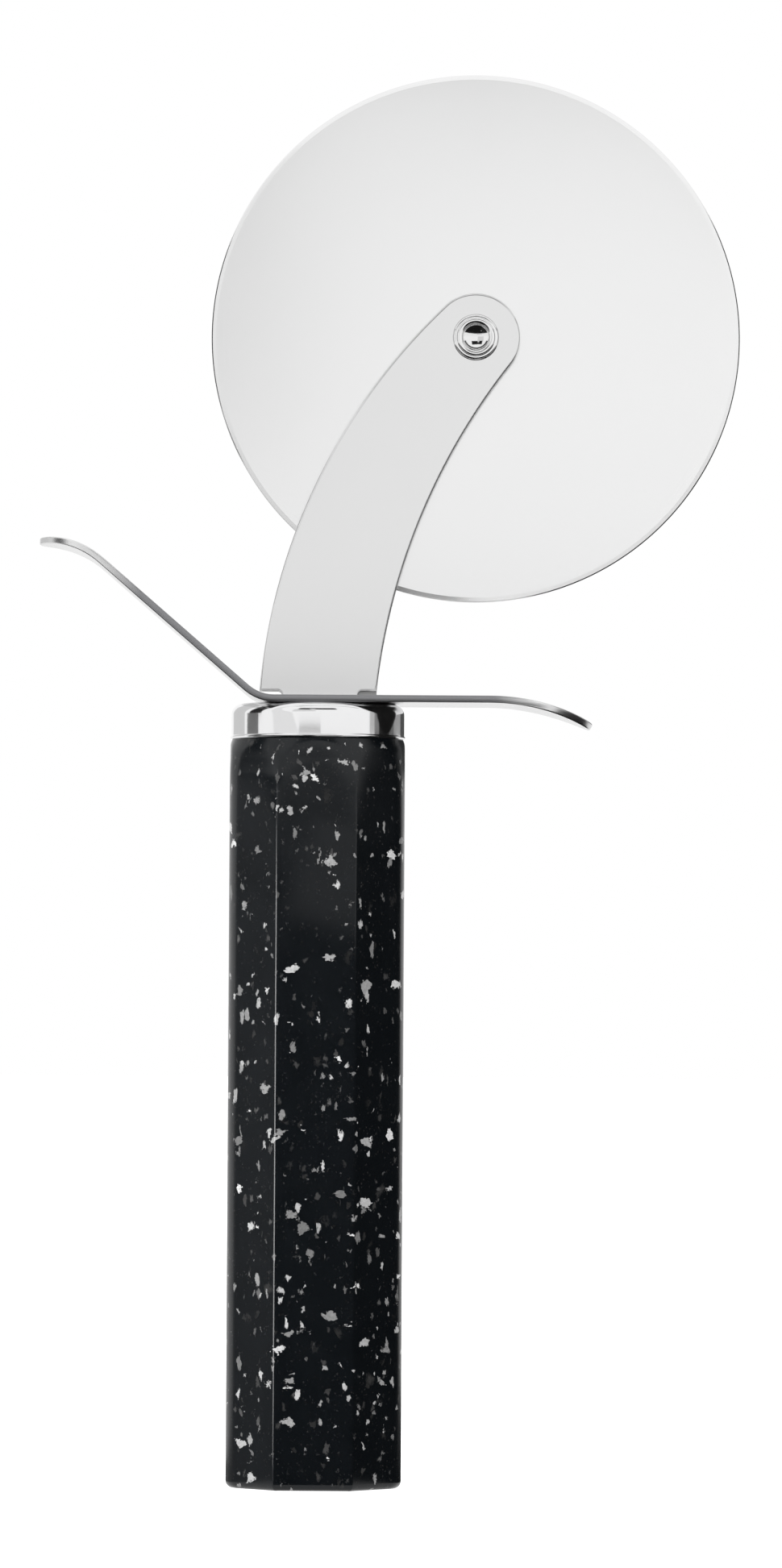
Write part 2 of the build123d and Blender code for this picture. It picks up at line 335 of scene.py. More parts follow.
# stone chips: convex shards, each a cell of a scattered pattern that is picked by chance
swarm_size = 11 * mm
swarm_least, swarm_most = -0.6, 3.0
outline_stray = 0.72
raggedness = 0.48
most_trimmed = 0.22


def between(tree, value, low, high, kind="SMOOTHSTEP"):
    """How far a value has come from a low limit to a high one, from nought to one."""
    inputs = {"Value": value, "From Min": low, "From Max": high}
    return add_node(tree, "ShaderNodeMapRange", inputs, interpolation_type=kind).outputs["Result"]


def scaled(tree, first, factor):
    """A vector made longer or shorter by a factor."""
    return add_node(tree, "ShaderNodeVectorMath", {0: first, "Scale": factor}, operation="SCALE").outputs[0]


chips, held, given = new_group(
    "stone_chips",
    "ShaderNodeTree",
    [
        ("Coordinates", vector, None),
        ("Size", number, 0.002),
        ("Share", number, 0.05),
        ("Offset", number, 0.0),
        ("Softness", number, 0.04),
        ("Stretch", vector, None),
    ],
    [("Mask", number), ("Tone", number)],
)
per_size = sum_of(chips, "DIVIDE", 1.0, held["Size"])
stretched = vector_of(chips, "MULTIPLY", held["Coordinates"], held["Stretch"])
moved = vector_of(chips, "ADD", stretched, held["Offset"])
rough_edge = noise(chips, moved, sum_of(chips, "MULTIPLY", per_size, 1.6), 2.0, roughness=0.6)["Color"]
stray = vector_of(chips, "SUBTRACT", rough_edge, (0.5, 0.5, 0.5))
stray = scaled(chips, stray, sum_of(chips, "MULTIPLY", held["Size"], outline_stray))
inputs = {"Vector": vector_of(chips, "ADD", moved, stray), "Scale": per_size}
cell = add_node(chips, "ShaderNodeTexVoronoi", inputs)
edge = add_node(chips, "ShaderNodeTexVoronoi", inputs, feature="DISTANCE_TO_EDGE").outputs["Distance"]
chance = add_node(chips, "ShaderNodeSeparateColor", {"Color": cell.outputs["Color"]}).outputs
nicks = noise(chips, moved, sum_of(chips, "MULTIPLY", per_size, 6.0), 2.0)["Fac"]
ragged = sum_of(chips, "MULTIPLY_ADD", sum_of(chips, "SUBTRACT", nicks, 0.5), raggedness, edge)
swarm = noise(chips, moved, 1 / swarm_size, 1.0)["Fac"]
swarm_share = sum_of(chips, "MULTIPLY", held["Share"], spread(chips, swarm, swarm_least, swarm_most))
picked = sum_of(chips, "LESS_THAN", chance["Red"], swarm_share)
trim = sum_of(chips, "MULTIPLY", chance["Blue"], most_trimmed)
inside = between(chips, ragged, trim, sum_of(chips, "ADD", trim, held["Softness"]))
chips.links.new(sum_of(chips, "MULTIPLY", picked, inside), given["Mask"])
chips.links.new(chance["Green"], given["Tone"])

grip_resin, tree, shader, place = new_material("grip_resin", level=0.36)
grain = use_group(tree, speckle, {"Coordinates": place, "Grain": 0.35 * mm})
colour = set_mix(tree, grain["Value"], (0.0025, 0.0035, 0.0046, 1), (0.0064, 0.0083, 0.0103, 1))
chip_kinds = [
    # size in millimetres, share, offset, softness, dark, bright, stretch
    (0.35, 0.10, 0.71, 0.20, 0.008, 0.035, (1.0, 1.0, 1.0)),
    (1.9, 0.055, 0.31, 0.40, 0.015, 0.045, (1.0, 1.0, 0.8)),
    (1.0, 0.045, 0.57, 0.25, 0.020, 0.140, (1.2, 1.2, 0.8)),
    (0.8, 0.020, 0.83, 0.10, 0.05, 0.65, (1.0, 1.0, 0.8)),
    (1.5, 0.031, 0.13, 0.08, 0.06, 0.75, (1.5, 1.5, 0.8)),
    (1.9, 0.027, 0.00, 0.06, 0.20, 0.90, (0.9, 1.1, 1.3)),
]
for size, share, offset, softness, dark, bright, stretch in chip_kinds:
    inputs = {"Coordinates": place, "Size": size * mm, "Share": share, "Offset": offset}
    layer = use_group(tree, chips, inputs | {"Softness": softness, "Stretch": stretch})
    shade = spread(tree, sum_of(tree, "POWER", layer["Tone"], 1.4), dark, bright)
    flecked = sum_of(tree, "MULTIPLY", shade, spread(tree, grain["Height"], 0.55, 1.35))
    tint = add_node(tree, "ShaderNodeCombineColor", {"Red": flecked, "Green": flecked, "Blue": flecked})
    colour = set_mix(tree, layer["Mask"], colour, tint.outputs["Color"])
tree.links.new(colour, shader.inputs["Base Color"])
tree.links.new(spread(tree, grain["Value"], 0.14, 0.30), shader.inputs["Roughness"])
relief(tree, shader, grain["Height"], 0.12, 0.03 * mm)
grip.data.materials.append(grip_resin)
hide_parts("handle_grip")
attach(grip, "handle")


# The ferrule: a drawn stainless cap, mirror polished, with a bead rolled round its foot.
# It is pushed over the core's collar down to the grip, and its top has a slot for the tangs.
# All turned pieces come off the same lathe: a tree of nodes spins an outline round its axis.

def arc(centre, radius, first, last, steps):
    """Points along an arc, by angle in degrees."""
    turns = [math.radians(first + (last - first) * step / steps) for step in range(steps + 1)]
    x, y = centre
    return [Vector((x + radius * math.cos(turn), y + radius * math.sin(turn))) for turn in turns]


def worked(tree, step, geometry, inputs):
    """The geometry that one step of a geometry tree puts out."""
    return add_node(tree, "GeometryNode" + step, {"Geometry": geometry} | inputs).outputs["Geometry"]


def end_tree(tree, geometry, held, given):
    """The end of a geometry tree: real mesh, in the finish that it was given."""
    real = worked(tree, "RealizeInstances", geometry, {})
    tree.links.new(worked(tree, "SetMaterial", real, {"Material": held["Finish"]}), given["Geometry"])


lathe, held, given = new_group(
    "lathe",
    "GeometryNodeTree",
    [
        ("Geometry", "NodeSocketGeometry", None),
        ("Segments", number, 128.0),
        ("Centre", vector, None),
        ("Turn", vector, None),
        ("Finish", "NodeSocketMaterial", None),
    ],
    [("Geometry", "NodeSocketGeometry")],
)
lathe.is_modifier = True
counts = add_node(lathe, "GeometryNodeAttributeDomainSize", {"Geometry": held["Geometry"]}).outputs
columns = sum_of(lathe, "ADD", held["Segments"], 1.0)
grid = add_node(lathe, "GeometryNodeMeshGrid", {"Vertices X": counts["Point Count"], "Vertices Y": columns})
index = lathe.nodes.new("GeometryNodeInputIndex").outputs["Index"]
row = sum_of(lathe, "FLOOR", sum_of(lathe, "DIVIDE", sum_of(lathe, "ADD", index, 0.5), columns), 0.0)
column = sum_of(lathe, "SUBTRACT", index, sum_of(lathe, "MULTIPLY", row, columns))
position = lathe.nodes.new("GeometryNodeInputPosition").outputs["Position"]
outline_point = add_node(
    lathe,
    "GeometryNodeSampleIndex",
    {"Geometry": held["Geometry"], "Value": position, "Index": row},
    data_type="FLOAT_VECTOR",
    domain="POINT",
)
angle = sum_of(lathe, "MULTIPLY", sum_of(lathe, "DIVIDE", column, held["Segments"]), math.tau)
inputs = {"Vector": outline_point.outputs["Value"], "Angle": angle}
spun = add_node(lathe, "ShaderNodeVectorRotate", inputs, rotation_type="Z_AXIS").outputs["Vector"]
shell = worked(lathe, "SetPosition", grid.outputs["Mesh"], {"Position": spun})
welded = worked(lathe, "MergeByDistance", shell, {"Distance": weld_distance})
placed = worked(lathe, "Transform", welded, {"Translation": held["Centre"], "Rotation": held["Turn"]})
end_tree(lathe, placed, held, given)


def bake(made):
    """Turns an object's modifiers into plain mesh."""
    bpy.context.view_layer.update()
    graph = bpy.context.evaluated_depsgraph_get()
    mesh = bpy.data.meshes.new_from_object(made.evaluated_get(graph))
    made.modifiers.clear()
    made.data = mesh


def run_tree(made, tree, inputs):
    """Runs an object through a geometry tree, whose inputs are set by their sockets' identifiers."""
    modifier = made.modifiers.new(tree.name, "NODES")
    modifier.node_group = tree
    for item in tree.interface.items_tree:
        if item.item_type == "SOCKET" and item.in_out == "INPUT" and item.name in inputs:
            modifier[item.identifier] = inputs[item.name]
    bake(made)


def turned_piece(name, outline, centre, turn, segments, finish, sharp_angle=28):
    """A piece spun from an outline of radius and height, closed where it starts and ends."""
    made = new_object(name, [(radius, 0.0, height) for radius, height in outline], [])
    inputs = {"Segments": float(segments), "Centre": centre, "Turn": turn, "Finish": finish}
    run_tree(made, lathe, inputs)
    tidy_mesh(made, sharp_angle)
    return made


ferrule_low, ferrule_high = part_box("ferrule")
ferrule_radius = 14.7 * mm
ferrule_wall = 1.0 * mm
ferrule_shoulder = 1.9 * mm
bead_height = 0.6 * mm
bead_depth = ferrule_high.x - ferrule_radius
slot_half = Vector((6.65 * mm, 2.85 * mm))
slot_centre = 0.3 * mm

mirror_steel, tree, shader, grain = speckled(
    "ferrule_steel", 0.6 * mm, (0.82, 0.82, 0.83), (0.90, 0.90, 0.90), 0.05, 0.14, metallic=1.0
)
relief(tree, shader, grain["Value"], 0.06, 0.02 * mm)

foot, top = ferrule_low.z, ferrule_high.z
bead_bulge = (bead_height**2 / 4 + bead_depth**2) / (2 * bead_depth)
bead_angle = math.degrees(math.asin(bead_height / 2 / bead_bulge))
bead_centre = (ferrule_radius + bead_depth - bead_bulge, foot + bead_height / 2)
shoulder_centre = (ferrule_radius - ferrule_shoulder, top - ferrule_shoulder)
bore = ferrule_radius - ferrule_wall
ferrule_outline = [(0.0, top), *arc(shoulder_centre, ferrule_shoulder, 90, 0, 16)]
ferrule_outline += arc(bead_centre, bead_bulge, bead_angle, -bead_angle, 10)
ferrule_outline += [(bore, foot), (bore, top - ferrule_wall), (0.0, top - ferrule_wall)]
ferrule = turned_piece("ferrule_cap", ferrule_outline, (0, 0, 0), (0, 0, 0), 192, mirror_steel)
square = ((-1, -1), (1, -1), (1, 1), (-1, 1))
slot_corners = [(slot_centre + x * slot_half.x, y * slot_half.y) for x, y in square]
punch_levels = (top - 2 * ferrule_wall, top + ferrule_wall)
punch = new_object("slot_punch", *bridged([[(x, y, z) for x, y in slot_corners] for z in punch_levels]))
tidy_mesh(punch, 30)
cut = ferrule.modifiers.new("slot", "BOOLEAN")
cut.operation = "DIFFERENCE"
cut.solver = "EXACT"
cut.object = punch
bake(ferrule)
bpy.data.objects.remove(punch)
tidy_mesh(ferrule, 28)
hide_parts("ferrule")
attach(ferrule, "handle")


# The finger guard: a strip blanked from stainless sheet with full-round ends, tumbled so that its edges
# are soft, punched for the tangs, and then pressed into a wave, up on the left and down on the right.
# It lies on the ferrule, and the tangs pass through it.

guard_thickness = 1.2 * mm
guard_half = 12.75 * mm
guard_level = top + guard_thickness / 2
guard_round = 0.28 * mm
guard_bend_start = 7.4 * mm
guard_bend_radius = 7.0 * mm
guard_bend_angle = 40.9
guard_wing = 32.7 * mm
guard_tip_radius = 15.0 * mm
guard_lip = 1.0 * mm
guard_flat_end = 29.0 * mm
guard_droop_radius = 37.5 * mm
guard_droop_angle = 27.8
# where the rim's painted highlight towards the strip's ends starts, and where it is full
tip_highlight_from = 30 * mm
tip_highlight_to = 37 * mm
cloud_size = 18 * mm

satin, held, given = new_group(
    "satin_grind",
    "ShaderNodeTree",
    [
        ("Across", number, 0.0),
        ("Coordinates", vector, None),
        ("Line", number, 0.0002),
        ("Cloud", number, 0.02),
    ],
    [("Value", number), ("Height", number)],
)
inputs = {"W": sum_of(satin, "DIVIDE", held["Across"], held["Line"]), "Scale": 1.0, "Detail": 4.0}
inputs["Roughness"] = 0.7
lines = add_node(satin, "ShaderNodeTexNoise", inputs, noise_dimensions="1D").outputs["Fac"]
clouds = noise(satin, held["Coordinates"], sum_of(satin, "DIVIDE", 1.0, held["Cloud"]), 5.0)["Fac"]
fade = spread(satin, clouds, 0.35, 0.65)
half_clouds = sum_of(satin, "MULTIPLY", clouds, 0.5)
satin.links.new(sum_of(satin, "MULTIPLY_ADD", lines, fade, half_clouds), given["Value"])
satin.links.new(sum_of(satin, "MULTIPLY", lines, fade), given["Height"])


def satin_steel(name, dark, bright, smoothest, roughest, line, across, depth):
    """Ground stainless steel whose fine lines follow the distance given by across."""
    made, tree, shader, place = new_material(name, metallic=1.0)
    inputs = {"Across": across(tree, place), "Coordinates": place, "Line": line, "Cloud": cloud_size}
    ground = use_group(tree, satin, inputs)
    surface(tree, shader, ground["Value"], [dark] * 3, [bright] * 3, smoothest, roughest)
    relief(tree, shader, ground["Height"], 0.25, depth)
    return made


def across_width(tree, place):
    """Lines that run along the strip: the distance across its width."""
    return add_node(tree, "ShaderNodeSeparateXYZ", {"Vector": place}).outputs["Y"]


def joined_arcs(start, heading, *runs):
    """A line of straight runs and bends; each run is a length, or a radius with a turn in degrees."""
    points = [Vector(start)]
    direction = math.radians(heading)
    for run in runs:
        here = points[-1].copy()
        if isinstance(run, float):
            steps = max(2, round(run / (0.5 * mm)))
            ahead = Vector((math.cos(direction), math.sin(direction)))
            points += [here + ahead * run * step / steps for step in range(1, steps + 1)]
            continue
        radius, turn = run
        side = math.copysign(1, turn)
        steps = max(8, round(abs(turn)))
        centre = here + Vector((-math.sin(direction), math.cos(direction))) * radius * side
        for step in range(1, steps + 1):
            swept = direction + math.radians(turn) * step / steps
            points.append(centre - Vector((-math.sin(swept), math.cos(swept))) * radius * side)
        direction += math.radians(turn)
    return points


bend_point = (-guard_bend_start, guard_level)
up_bend = (guard_bend_radius, -guard_bend_angle)
level_bend = (guard_tip_radius, guard_bend_angle)
droop = (guard_droop_radius, -guard_droop_angle)
leftward = joined_arcs(bend_point, 180, up_bend, guard_wing, level_bend, guard_lip)
rightward = joined_arcs(bend_point, 0, guard_flat_end + guard_bend_start, droop)
wave = leftward[::-1] + rightward[1:]
wave_length = [0.0]
for first, second in zip(wave, wave[1:]):
    wave_length.append(wave_length[-1] + (second - first).length)


def along_wave(x):
    """The distance along the wave at which it reaches a given x."""
    for k in range(len(wave) - 1):
        if wave[k].x <= x <= wave[k + 1].x:
            share = (x - wave[k].x) / (wave[k + 1].x - wave[k].x)
            return wave_length[k] + share * (wave_length[k + 1] - wave_length[k])
    return wave_length[-1] if x > wave[-1].x else 0.0


def near_rim(tree, parts):
    """Whether a place lies at the strip's blanked rim, by its distance from the strip's middle line."""
    centre = (wave[0].x + wave[-1].x) / 2
    straight_half = (wave[-1].x - wave[0].x) / 2 - guard_half
    aside = sum_of(tree, "ABSOLUTE", sum_of(tree, "SUBTRACT", parts["X"], centre), 0.0)
    past = sum_of(tree, "MAXIMUM", sum_of(tree, "SUBTRACT", aside, straight_half), 0.0)
    square = sum_of(tree, "MULTIPLY", parts["Y"], parts["Y"])
    reach = sum_of(tree, "SQRT", sum_of(tree, "MULTIPLY_ADD", past, past, square), 0.0)
    return between(tree, reach, guard_half - guard_round, guard_half - 0.5 * guard_round)


# the rim: rougher, and darker as sheared edge and painted shade, with a painted highlight at the ends
guard_steel = satin_steel("guard_steel", 0.66, 0.76, 0.12, 0.22, 0.25 * mm, across_width, 0.01 * mm)
tree = guard_steel.node_tree
shader = tree.nodes["Principled BSDF"]
place = tree.nodes.new("ShaderNodeTexCoord").outputs["Object"]
parts = add_node(tree, "ShaderNodeSeparateXYZ", {"Vector": place}).outputs
blanked = near_rim(tree, parts)
polished_colour = shader.inputs["Base Color"].links[0].from_socket
polished_roughness = shader.inputs["Roughness"].links[0].from_socket
off_middle = sum_of(tree, "ABSOLUTE", parts["X"], 0.0)
# rim colour: darker along the strip, partly sheared edge and partly painted shade; lighter at the ends, a
# painted highlight
tip_highlight_mask = between(tree, off_middle, tip_highlight_from, tip_highlight_to, "LINEAR")
rim_shade_and_tip_highlight = set_mix(tree, tip_highlight_mask, (0.30, 0.30, 0.31, 1), (0.80, 0.80, 0.80, 1))
rim_dullness = 0.12
tree.links.new(set_mix(tree, blanked, polished_colour, rim_shade_and_tip_highlight), shader.inputs["Base Color"])
rim_roughness = sum_of(tree, "MULTIPLY_ADD", blanked, rim_dullness, polished_roughness)
tree.links.new(rim_roughness, shader.inputs["Roughness"])


def plan_half(x):
    """Half the strip's width at x, seen from above."""
    reach = max(wave[0].x + guard_half - x, x - wave[-1].x + guard_half, 0.0)
    return math.sqrt(max(guard_half**2 - reach**2, 0.0))


def drawn_in(outline, distance):
    """A closed counter-clockwise outline moved inwards."""
    moved = []
    for k, point in enumerate(outline):
        before = (point - outline[k - 1]).normalized()
        after = (outline[(k + 1) % len(outline)] - point).normalized()
        first, second = Vector((-before.y, before.x)), Vector((-after.y, after.x))
        moved.append(point + (first + second) * distance / (1 + first.dot(second)))
    return moved


# places along x where the strip's outline is set, close together at its round ends
left, right = wave[0].x, wave[-1].x
round_end = [depth for inset, depth in quarter_round(guard_half, 22)]
stations = [left + depth for depth in round_end] + [right - depth for depth in round_end]
start, end = left + guard_half, right - guard_half
steps = 90
stations += [start + (end - start) * step / steps for step in range(1, steps)]
slot_ends = [slot_centre - slot_half.x, slot_centre + slot_half.x]
stations = [x for x in stations if min(abs(x - end) for end in slot_ends) > 0.25 * mm] + slot_ends
stations.sort()

# the flat strip: one outline that shrinks into its rounded rims, and two faces round the slot
lower_side = [Vector((along_wave(x), -plan_half(x))) for x in stations]
upper_side = [Vector((p.x, -p.y)) for p in lower_side[-2:0:-1]]
blank_outline = lower_side + upper_side
blank_count = len(blank_outline)
half_thickness = guard_thickness / 2
rim = [(guard_round + 0.4 * mm, half_thickness)]
rim += [(inset, half_thickness - depth) for inset, depth in quarter_round(guard_round, 6)]
rim += [(inset, -height) for inset, height in rim[::-1]]
blank_loops = [[(*p, height) for p in drawn_in(blank_outline, inset)] for inset, height in rim]
blank_points, blank_faces = bridged(blank_loops, closed_ends=False)
slot_columns = [k for k, x in enumerate(stations) if abs(x - slot_centre) <= slot_half.x + 0.001 * mm]
slot_points = {}


def rim_point(first, k, side):
    """The number of the rim point at a station and side, in the loop that starts at a given number."""
    return first + (k if side < 0 or k in (0, len(stations) - 1) else blank_count - k)


for level, base, first in ((0, half_thickness, 0), (1, -half_thickness, (len(rim) - 1) * blank_count)):
    for k in slot_columns:
        for side in (-1, 1):
            slot_points[level, k, side] = len(blank_points)
            blank_points.append((lower_side[k].x, side * slot_half.y, base))
    for k in range(len(stations) - 1):
        on = k + 1
        if k in slot_columns and on in slot_columns:
            for side in (-1, 1):
                slot_edge = (slot_points[level, on, side], slot_points[level, k, side])
                blank_faces.append((rim_point(first, k, side), rim_point(first, on, side), *slot_edge))
            continue
        corners = [rim_point(first, *end) for end in ((k, -1), (on, -1), (on, 1), (k, 1))]
        if k in slot_columns:
            corners += [slot_points[level, k, 1], slot_points[level, k, -1]]
        if on in slot_columns:
            corners[2:2] = [slot_points[level, on, -1], slot_points[level, on, 1]]
        blank_faces.append(tuple(dict.fromkeys(corners)))
slot_walls = [((k, side), (k + 1, side)) for k in slot_columns[:-1] for side in (-1, 1)]
slot_walls += [((k, -1), (k, 1)) for k in (slot_columns[0], slot_columns[-1])]
for start, end in slot_walls:
    upper_edge = (slot_points[0, *start], slot_points[0, *end])
    blank_faces.append((*upper_edge, slot_points[1, *end], slot_points[1, *start]))

wave_line = bpy.data.curves.new("wave_line", "CURVE")
wave_line.dimensions = "3D"
spline = wave_line.splines.new("POLY")
spline.points.add(len(wave) - 1)
for point, (x, z) in zip(spline.points, wave):
    point.co = (x, 0.0, z, 1.0)
wave_former = in_scene("wave_former", wave_line)

press, held, given = new_group(
    "press_form",
    "GeometryNodeTree",
    [
        ("Geometry", "NodeSocketGeometry", None),
        ("Former", "NodeSocketObject", None),
        ("Finish", "NodeSocketMaterial", None),
    ],
    [("Geometry", "NodeSocketGeometry")],
)
press.is_modifier = True
former = add_node(press, "GeometryNodeObjectInfo", {"Object": held["Former"]}).outputs["Geometry"]
flat_place = press.nodes.new("GeometryNodeInputPosition").outputs["Position"]
flat_parts = add_node(press, "ShaderNodeSeparateXYZ", {"Vector": flat_place}).outputs
inputs = {"Curves": former, "Length": flat_parts["X"]}
on_wave = add_node(press, "GeometryNodeSampleCurve", inputs, mode="LENGTH", use_all_curves=True).outputs
up = vector_of(press, "CROSS_PRODUCT", on_wave["Tangent"], (0.0, 1.0, 0.0))
sideways = add_node(press, "ShaderNodeCombineXYZ", {"Y": flat_parts["Y"]}).outputs["Vector"]
off_wave = vector_of(press, "ADD", scaled(press, up, flat_parts["Z"]), sideways)
formed_place = vector_of(press, "ADD", on_wave["Position"], off_wave)
formed = worked(press, "SetPosition", held["Geometry"], {"Position": formed_place})
end_tree(press, formed, held, given)

guard = new_object("waved_guard", blank_points, blank_faces)
run_tree(guard, press, {"Former": wave_former, "Finish": guard_steel})
bpy.data.objects.remove(wave_former)
tidy_mesh(guard, 35)
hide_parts("finger_guard")
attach(guard, "handle")


# The arms: a pair of plates blanked from stainless sheet, one on each side of the wheel, with the
# edges of their outer faces tumbled soft. The packing plate between their tangs keeps them apart, and
# the tangs go down through the guard and the ferrule into the handle.

arm_low, arm_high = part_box("front_arm")
arm_thickness = arm_high.y - arm_low.y
arm_near = -arm_high.y
arm_round = 0.36 * mm
shoulder_height = top + guard_thickness + 1.0 * mm
hinge = next(j for j in frame["joints"] if j["name"] == "wheel_spin")
axle = Vector((hinge["pos_m"][0], hinge["pos_m"][2]))
eye_radius = 7.5 * mm
foot_half = 9.95 * mm
outer_curve = 102.0 * mm
inner_curve = 109.0 * mm
notch_round = 0.7 * mm
tang_foot = arm_low.z
tang_half = 6.5 * mm
tang_corner = 2.5 * mm
axle_hole = 2.55 * mm
pin_hole = 2.04 * mm
pin_heights = [tang_foot + 12.0 * mm, tang_foot + 40.0 * mm]


def curve_centre(foot, foot_reach, eye, eye_reach):
    """The point to the lower right at the given reaches from the foot and the eye."""
    span = eye - foot
    along = (span.length_squared + foot_reach**2 - eye_reach**2) / (2 * span.length)
    aside = math.sqrt(foot_reach**2 - along**2)
    ahead = span.normalized()
    return foot + ahead * along + Vector((ahead.y, -ahead.x)) * aside


def swept(centre, start, end, steps):
    """Points on the short arc round a centre, from one point on it to another."""
    first, last = start - centre, end - centre
    turn = -first.angle_signed(last)
    return [centre + turned_by(first, turn * step / steps) for step in range(steps + 1)]


left_foot = Vector((-foot_half, shoulder_height))
right_foot = Vector((foot_half, shoulder_height))
outer_centre = curve_centre(left_foot, outer_curve, axle, outer_curve - eye_radius)
inner_centre = curve_centre(right_foot, inner_curve, axle, inner_curve + eye_radius)
outer_touch = outer_centre + (axle - outer_centre).normalized() * outer_curve
inner_touch = inner_centre + (axle - inner_centre).normalized() * inner_curve
across = (inner_touch - outer_touch).normalized()
crown = axle + Vector((-across.y, across.x)) * eye_radius
tang_left, tang_right = slot_centre - tang_half, slot_centre + tang_half

arm_outline = swept(inner_centre, right_foot, inner_touch, 60)
arm_outline += swept(axle, inner_touch, crown, 24)[1:] + swept(axle, crown, outer_touch, 24)[1:]
arm_outline += swept(outer_centre, outer_touch, left_foot, 60)[1:]
arm_outline += arc((tang_left - notch_round, shoulder_height - notch_round), notch_round, 90, 0, 6)
arm_outline += arc((tang_left + tang_corner, tang_foot + tang_corner), tang_corner, 180, 270, 8)
arm_outline += arc((tang_right - tang_corner, tang_foot + tang_corner), tang_corner, 270, 360, 8)
arm_outline += arc((tang_right + notch_round, shoulder_height - notch_round), notch_round, 180, 90, 6)


def reach_from(tree, place, x, z):
    """The distance from a line that runs front to back through a point."""
    reach = vector_of(tree, "MULTIPLY", vector_of(tree, "SUBTRACT", place, (x, 0.0, z)), (1.0, 0.0, 1.0))
    return add_node(tree, "ShaderNodeVectorMath", {0: reach}, operation="LENGTH").outputs["Value"]


def along_arm(tree, place):
    """Lines that run up the arm: the distance across it, from the long curve's centre."""
    return reach_from(tree, place, *outer_centre)


arm_steel = satin_steel("arm_steel", 0.75, 0.81, 0.14, 0.21, 0.3 * mm, along_arm, 0.006 * mm)


def plate(name, outline, holes, outer, inner, rounding, finish):
    """A flat plate between two depths, with holes and the edge of its outer face rounded."""
    work = bmesh.new()
    side = math.copysign(1, inner - outer)
    depths = [(inset, outer + side * depth) for inset, depth in quarter_round(rounding, 6)]
    depths.append((0.0, inner))
    rows = [[work.verts.new((p.x, depth, p.y)) for p in drawn_in(outline, inset)] for inset, depth in depths]
    stacks = [rows]
    for centre, radius in holes:
        ring = arc(centre, radius, 0, 360, 48)[:-1]
        stacks.append([[work.verts.new((p.x, depth, p.y)) for p in ring] for depth in (outer, inner)])
    for stack in stacks:
        for upper, lower in zip(stack, stack[1:]):
            for k in range(len(upper)):
                on = (k + 1) % len(upper)
                work.faces.new((upper[k], upper[on], lower[on], lower[k]))
    for level in (0, -1):
        edges = []
        for stack in stacks:
            ring = stack[level]
            edges += [work.edges.get((ring[k - 1], ring[k])) for k in range(len(ring))]
        bmesh.ops.triangle_fill(work, use_beauty=True, edges=edges)
    bmesh.ops.recalc_face_normals(work, faces=work.faces)
    made = new_object(name, [], [], finish)
    work.to_mesh(made.data)
    work.free()
    for face in made.data.polygons:
        face.use_smooth = len(face.vertices) == 4
    return made


arm_holes = [(axle, axle_hole)] + [((slot_centre, height), pin_hole) for height in pin_heights]
for name, node, side in (("front_arm_plate", "front_arm", -1), ("rear_arm_plate", "rear_arm", 1)):
    outer, inner = side * (arm_near + arm_thickness), side * arm_near
    arm = plate(name, arm_outline, arm_holes, outer, inner, arm_round, arm_steel)
    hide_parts(node)
    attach(arm, "handle")
# the packing plate's dark colour is painted shade of the recess between the tangs; its roughness is its own
packing_painted_shade = satin_steel("packing_painted_shade", 0.30, 0.40, 0.30, 0.42, 0.4 * mm, across_width, 0.01 * mm)
dress("tang_spacer", packing_painted_shade)


# The wheel: a disc blanked from hardened stainless sheet, ground flat and sharpened round its rim.
# It turns freely on the rivet, between two thin natural nylon washers that keep it off the arms.

blade_low, blade_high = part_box("wheel_blade")
blade_radius = (blade_high.x - blade_low.x) / 2
blade_half = blade_high.y
blade_bevel = 0.8 * mm
blade_edge_half = 0.125 * mm
blade_edge_width = 0.18 * mm
blade_land_half = 0.03 * mm
blade_bore = 2.55 * mm
axle_point = (axle.x, 0.0, axle.y)
to_back = (-math.pi / 2, 0.0, 0.0)


def round_axle(tree, place):
    """Lines that run round the axle: the distance from it."""
    return reach_from(tree, place, *axle)


blade_steel = satin_steel("blade_steel", 0.86, 0.94, 0.18, 0.26, 0.35 * mm, round_axle, 0.004 * mm)
blade_rows = [blade_bore, 8 * mm, 20 * mm, 32 * mm, blade_radius - blade_bevel]
blade_face = [(radius, blade_half) for radius in blade_rows]
edge_share = blade_edge_width / blade_bevel
edge_half = blade_edge_half + (blade_half - blade_edge_half) * edge_share
blade_face += [(blade_radius - blade_edge_width, edge_half), (blade_radius, blade_land_half)]
blade_outline = [(radius, -height) for radius, height in blade_face] + blade_face[::-1]
blade_outline.append(blade_outline[0])
blade = turned_piece("ground_blade", blade_outline, axle_point, to_back, 360, blade_steel, sharp_angle=15)
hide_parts("wheel_blade")
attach(blade, "wheel")

nylon = speckled("spacer_nylon", 0.5 * mm, (0.72, 0.72, 0.69), (0.82, 0.82, 0.79), 0.40, 0.55)[0]
for node in ("front_spacer", "rear_spacer"):
    dress(node, nylon)


# The axle: a semi-tubular steel rivet with a low domed head behind. It is put through from the back, a
# bright washer is dropped over its hollow end, and a setting tool rolls that end out over the washer.

rivet_low, rivet_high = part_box("axle_rivet")
washer_low, washer_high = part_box("clinch_washer")
axle_radius = 2.5 * mm
head_radius = 4.6 * mm
head_rim = 0.4 * mm
hollow_radius = 2.1 * mm
hollow_depth = 1.2 * mm
hollow_half_angle = math.radians(59)
crest_radius = 2.85 * mm
lip_radius = 3.3 * mm
washer_round = 0.55 * mm
arm_face = arm_low.y
washer_face = washer_low.y
crest = rivet_low.y
head_top = rivet_high.y

